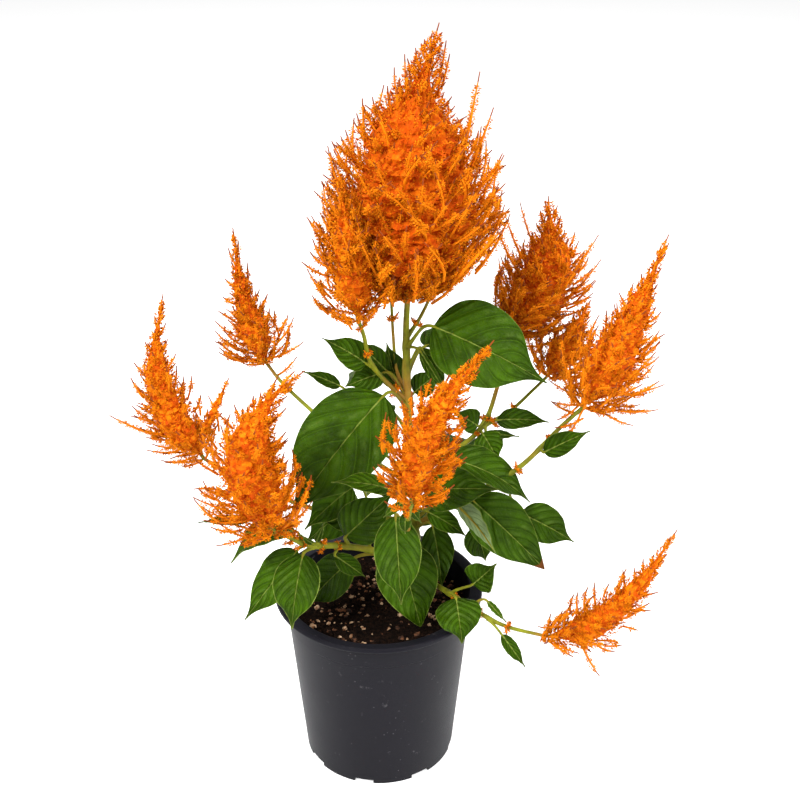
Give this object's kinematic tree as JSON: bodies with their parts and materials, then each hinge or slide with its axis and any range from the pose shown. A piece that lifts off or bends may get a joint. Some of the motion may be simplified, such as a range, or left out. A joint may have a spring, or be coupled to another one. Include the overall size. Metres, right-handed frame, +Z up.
{
  "type": "potted plume celosia",
  "caption": "Orange plume celosia in bloom, a leafy branched stem with upright feathery plumes, in a dark round plastic nursery pot.",
  "frame": {"origin": "centre of the pot's underside, on the surface the pot stands on", "axes": "+Z up along the stem, -Y towards the plant's best side, +X to the right when it is seen from there"},
  "size_m": [0.3195, 0.2093, 0.4612],
  "materials": {
    "pot_plastic": "satin",
    "potting_mix": "rough, damp",
    "stem_flesh": "satin",
    "leaf_blade": "satin",
    "plume_florets": "matte, feathery"
  },
  "bodies": {
    "root": {"pot": "pot_plastic", "potting_mix": "potting_mix", "stems": "stem_flesh", "leaf_upper_right": "leaf_blade", "leaf_big_left": "leaf_blade", "leaf_front_edge": "leaf_blade", "leaf_front_left": "leaf_blade", "leaf_left_inner": "leaf_blade", "leaf_front": "leaf_blade", "leaf_low_front": "leaf_blade", "leaf_rim_left": "leaf_blade", "leaf_rim_far_left": "leaf_blade", "leaf_over_soil": "leaf_blade", "leaf_rim_left_small": "leaf_blade", "leaf_low_left": "leaf_blade", "leaf_low_right": "leaf_blade", "leaf_front_right": "leaf_blade", "leaf_front_right_low": "leaf_blade", "leaf_right_arch": "leaf_blade", "leaf_right_large": "leaf_blade", "leaf_right_outer": "leaf_blade", "leaf_right_pale": "leaf_blade", "leaf_right_under": "leaf_blade", "leaf_low_branch_up": "leaf_blade", "leaf_low_branch": "leaf_blade", "leaf_low_branch_tip": "leaf_blade", "leaf_node_right": "leaf_blade", "leaf_node_left": "leaf_blade", "leaf_node_outer": "leaf_blade", "leaf_right_axil": "leaf_blade", "leaf_upper_left": "leaf_blade", "leaf_upper_left_low": "leaf_blade", "leaf_upper_left_back": "leaf_blade", "leaf_upper_back": "leaf_blade", "leaf_upper_behind": "leaf_blade", "leaf_upper_narrow": "leaf_blade", "leaf_left_bud": "leaf_blade", "leaf_hidden_left": "leaf_blade", "leaf_hidden_right": "leaf_blade", "leaf_hidden_high": "leaf_blade", "leaf_hidden_low": "leaf_blade", "leaf_hidden_low_right": "leaf_blade", "leaf_hidden_low_left": "leaf_blade", "leaf_hidden_soil_left": "leaf_blade", "leaf_hidden_soil_right": "leaf_blade", "leaf_hidden_upper": "leaf_blade", "leaf_hidden_middle": "leaf_blade", "plume_main": "plume_florets", "plume_right_back": "plume_florets", "plume_right_side": "plume_florets", "plume_right": "plume_florets", "plume_right_low": "plume_florets", "plume_front": "plume_florets", "plume_left_low": "plume_florets", "plume_left_back": "plume_florets", "plume_left": "plume_florets", "plume_back": "plume_florets"}
  },
  "joints": []
}
